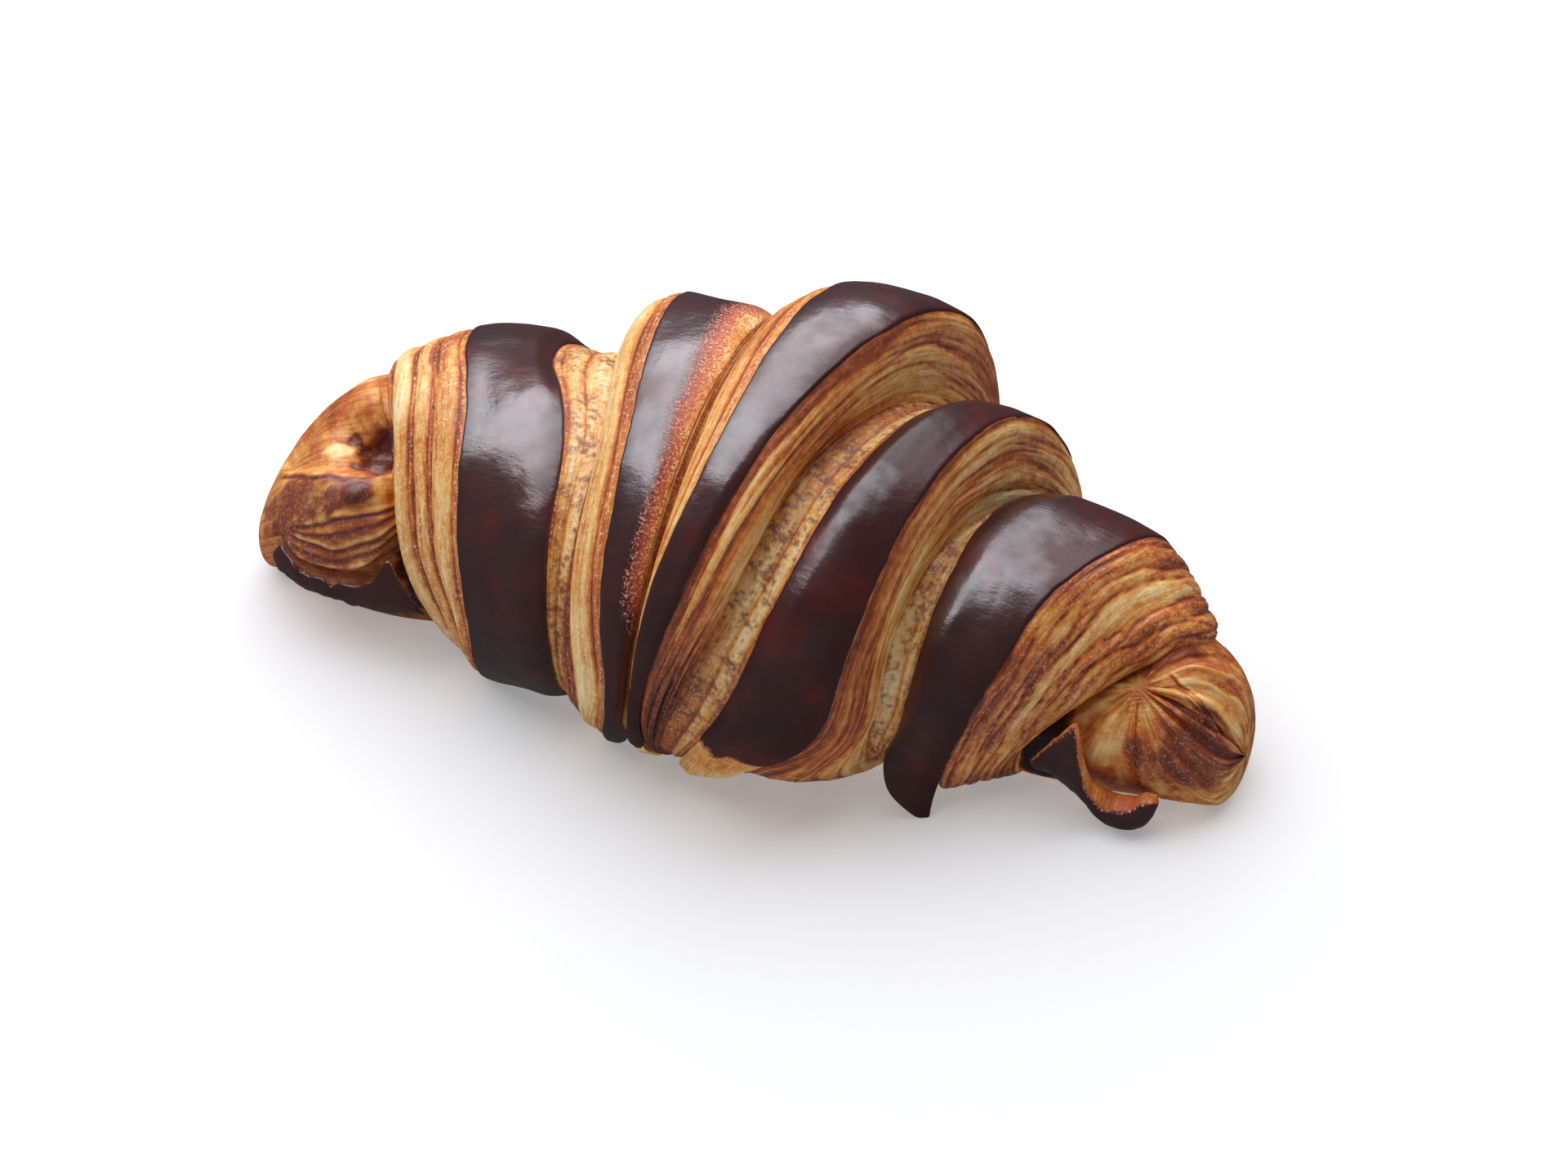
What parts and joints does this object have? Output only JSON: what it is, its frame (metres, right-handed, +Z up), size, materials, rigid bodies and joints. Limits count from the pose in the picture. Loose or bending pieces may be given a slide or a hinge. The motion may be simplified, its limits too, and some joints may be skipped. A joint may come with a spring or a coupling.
{
  "type": "chocolate croissant",
  "caption": "Crescent roll of layered butter dough with a skin of dark cocoa dough that shows as bands between golden cut edges, lying on a flat base.",
  "frame": {"origin": "middle of the footprint, on the surface the croissant lies on", "axes": "+X along the chord from the nose with the hollow to the nose with the fan of ridges, -Y towards the side that both noses bend to, +Z up"},
  "size_m": [0.15, 0.0728, 0.0648],
  "materials": {
    "baked_dough": null,
    "cocoa_skin": null
  },
  "bodies": {
    "root": {"pastry_body": "baked_dough", "cocoa_band_1": "cocoa_skin", "cocoa_band_2": "cocoa_skin", "cocoa_band_3": "cocoa_skin", "cocoa_band_4": "cocoa_skin", "cocoa_band_5": "cocoa_skin", "cocoa_lip_left": "cocoa_skin", "cocoa_lip_right": "cocoa_skin"}
  },
  "joints": []
}
